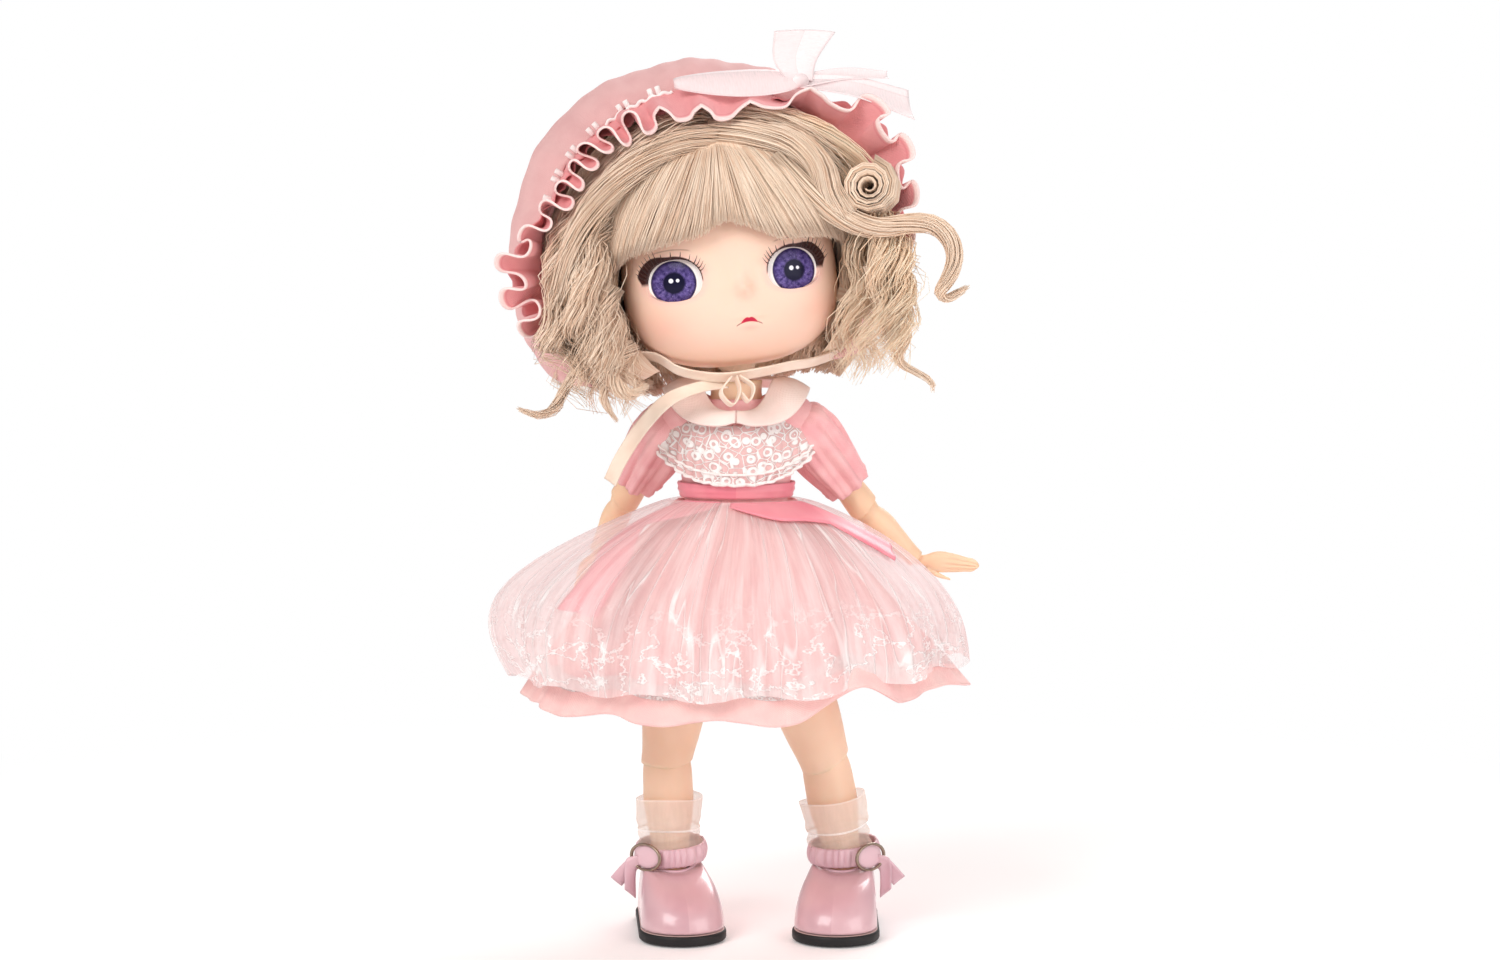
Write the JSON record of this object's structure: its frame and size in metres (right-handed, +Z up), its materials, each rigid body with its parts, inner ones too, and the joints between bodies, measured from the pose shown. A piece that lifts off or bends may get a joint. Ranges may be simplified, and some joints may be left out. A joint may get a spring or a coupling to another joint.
{
  "type": "dressed ball-jointed doll",
  "caption": "Small ball-jointed collectible doll standing in a ruffled bonnet, curled mohair wig, full-skirted dress with tulle overskirt, sheer socks and strapped satin shoes.",
  "frame": {"origin": "on the floor under the soles, below the middle of the whole figure's box", "axes": "+Z up from the soles to the bow, -Y the way the doll faces, +X the doll's own left"},
  "size_m": [0.1026, 0.0862, 0.1854],
  "materials": {
    "skin_vinyl": "matt peach skin with painted features",
    "joint_vinyl": "matt, slightly darker",
    "eye_resin": "polished, violet iris",
    "lash_fibre": "dark brown fibre strip",
    "mohair": "silky ash-blonde fibre",
    "bonnet_cotton": "plain woven cotton",
    "dress_cotton": "plain woven cotton",
    "tulle": "sheer crinkled net",
    "lace": "openwork cotton lace",
    "cream_satin": "soft satin",
    "sash_satin": "satin",
    "organza": "sheer organza",
    "sock_knit": "fine sheer knit",
    "shoe_satin": "satin",
    "sole_rubber": "black, slightly glossy",
    "buckle_metal": "dark plated wire",
    "magnet_metal": "nickel plated"
  },
  "bodies": {
    "torso": {"torso": "skin_vinyl", "dress_bodice": "dress_cotton", "dress_collar": "cream_satin", "lace_bib": "lace", "waist_sash": "sash_satin", "underskirt": "dress_cotton", "tulle_overskirt": "tulle", "left_sash_tail": "sash_satin", "right_sash_tail": "sash_satin", "bonnet_ribbon_tail": "cream_satin"},
    "neck_base": {"neck_base": "joint_vinyl"},
    "neck_peg": {"neck_peg": "joint_vinyl"},
    "head": {"head_face": "skin_vinyl", "head_cap": "skin_vinyl", "left_face_magnet": "magnet_metal", "right_face_magnet": "magnet_metal", "left_cap_magnet": "magnet_metal", "right_cap_magnet": "magnet_metal", "left_eye": "eye_resin", "right_eye": "eye_resin", "left_eyelash": "lash_fibre", "right_eyelash": "lash_fibre", "wig_cap": "mohair", "wig_fringe": "mohair", "wig_left_curls": "mohair", "wig_right_curls": "mohair", "wig_back": "mohair", "wig_crown": "mohair", "bonnet_crown": "bonnet_cotton", "bonnet_ruffle": "bonnet_cotton", "bonnet_bow": "organza", "chin_ribbon": "cream_satin"},
    "left_shoulder": {"left_shoulder_joint": "joint_vinyl"},
    "left_upper_arm": {"left_upper_arm": "skin_vinyl", "left_sleeve": "dress_cotton"},
    "left_forearm": {"left_forearm": "skin_vinyl"},
    "left_hand": {"left_hand": "skin_vinyl"},
    "left_hip": {"left_hip_joint": "joint_vinyl"},
    "left_thigh": {"left_thigh": "skin_vinyl"},
    "left_shin": {"left_shin": "skin_vinyl", "left_sock": "sock_knit"},
    "left_foot": {"left_foot": "skin_vinyl", "left_shoe_sole": "sole_rubber", "left_shoe_upper": "shoe_satin", "left_shoe_strap": "shoe_satin", "left_shoe_buckle": "buckle_metal"},
    "right_shoulder": {"right_shoulder_joint": "joint_vinyl"},
    "right_upper_arm": {"right_upper_arm": "skin_vinyl", "right_sleeve": "dress_cotton"},
    "right_forearm": {"right_forearm": "skin_vinyl"},
    "right_hand": {"right_hand": "skin_vinyl"},
    "right_hip": {"right_hip_joint": "joint_vinyl"},
    "right_thigh": {"right_thigh": "skin_vinyl"},
    "right_shin": {"right_shin": "skin_vinyl", "right_sock": "sock_knit"},
    "right_foot": {"right_foot": "skin_vinyl", "right_shoe_sole": "sole_rubber", "right_shoe_upper": "shoe_satin", "right_shoe_strap": "shoe_satin", "right_shoe_buckle": "buckle_metal"}
  },
  "joints": [
    {"name": "head_turn", "type": "hinge", "parent": "torso", "child": "neck_base", "pos_m": [-0.00044, -0.00052, 0.1112], "axis": [0, 0, 1], "range_deg": [-33, 23]},
    {"name": "head_nod", "type": "hinge", "parent": "neck_base", "child": "neck_peg", "pos_m": [-0.00044, -0.00052, 0.1112], "axis": [0.9962, 0.0872, 0], "range_deg": [-8, 7]},
    {"name": "head_tilt", "type": "hinge", "parent": "neck_peg", "child": "head", "pos_m": [-0.00044, -0.00052, 0.1194], "axis": [-0.0872, 0.9962, 0], "range_deg": [-2, 12]},
    {"name": "left_shoulder_swing", "type": "hinge", "parent": "torso", "child": "left_shoulder", "pos_m": [0.01405, 0.00048, 0.104], "axis": [1, 0, 0], "range_deg": [0, 40]},
    {"name": "left_shoulder_raise", "type": "hinge", "parent": "left_shoulder", "child": "left_upper_arm", "pos_m": [0.01405, 0.00048, 0.104], "axis": [0, 0.9135, 0.4067], "range_deg": [-40, 0]},
    {"name": "left_elbow_bend", "type": "hinge", "parent": "left_upper_arm", "child": "left_forearm", "pos_m": [0.02664, 0.00806, 0.08696], "axis": [0, 0.9135, 0.4067], "range_deg": [-40, 0]},
    {"name": "left_wrist_turn", "type": "hinge", "parent": "left_forearm", "child": "left_hand", "pos_m": [0.03768, 0.01305, 0.07576], "axis": [-0.6691, -0.3023, 0.6789], "range_deg": [-40, 40]},
    {"name": "left_hip_swing", "type": "hinge", "parent": "torso", "child": "left_hip", "pos_m": [0.01012, 0.00148, 0.05719], "axis": [1, 0, 0], "range_deg": [-30, 25]},
    {"name": "left_hip_spread", "type": "hinge", "parent": "left_hip", "child": "left_thigh", "pos_m": [0.01012, 0.00148, 0.05719], "axis": [0, 1, 0], "range_deg": [-12, 5]},
    {"name": "left_knee_bend", "type": "hinge", "parent": "left_thigh", "child": "left_shin", "pos_m": [0.01814, 0.00148, 0.03464], "axis": [0.9833, 0, 0.1822], "range_deg": [0, 48]},
    {"name": "left_ankle_tilt", "type": "hinge", "parent": "left_shin", "child": "left_foot", "pos_m": [0.02206, 0.00148, 0.0135], "axis": [0.9903, -0.1392, 0], "range_deg": [-8, 10]},
    {"name": "right_shoulder_swing", "type": "hinge", "parent": "torso", "child": "right_shoulder", "pos_m": [-0.01494, 0.00048, 0.104], "axis": [1, 0, 0], "range_deg": [-4, 25]},
    {"name": "right_shoulder_raise", "type": "hinge", "parent": "right_shoulder", "child": "right_upper_arm", "pos_m": [-0.01494, 0.00048, 0.104], "axis": [0, 0.766, 0.6428], "range_deg": [0, 36]},
    {"name": "right_elbow_bend", "type": "hinge", "parent": "right_upper_arm", "child": "right_forearm", "pos_m": [-0.02445, 0.01358, 0.08838], "axis": [0, 0.766, 0.6428], "range_deg": [0, 40]},
    {"name": "right_wrist_turn", "type": "hinge", "parent": "right_forearm", "child": "right_hand", "pos_m": [-0.03037, 0.02349, 0.07658], "axis": [0.3584, -0.6001, 0.7152], "range_deg": [-40, 40]},
    {"name": "right_hip_swing", "type": "hinge", "parent": "torso", "child": "right_hip", "pos_m": [-0.01157, 0.00148, 0.05879], "axis": [1, 0, 0], "range_deg": [-30, 25]},
    {"name": "right_hip_spread", "type": "hinge", "parent": "right_hip", "child": "right_thigh", "pos_m": [-0.01157, 0.00148, 0.05879], "axis": [0, 1, 0], "range_deg": [-5, 20]},
    {"name": "right_knee_bend", "type": "hinge", "parent": "right_thigh", "child": "right_shin", "pos_m": [-0.01503, 0.00148, 0.03499], "axis": [0.9993, 0, 0.0366], "range_deg": [0, 48]},
    {"name": "right_ankle_tilt", "type": "hinge", "parent": "right_shin", "child": "right_foot", "pos_m": [-0.01425, 0.00148, 0.0135], "axis": [0.9816, 0.1908, 0], "range_deg": [-12, 12]}
  ]
}
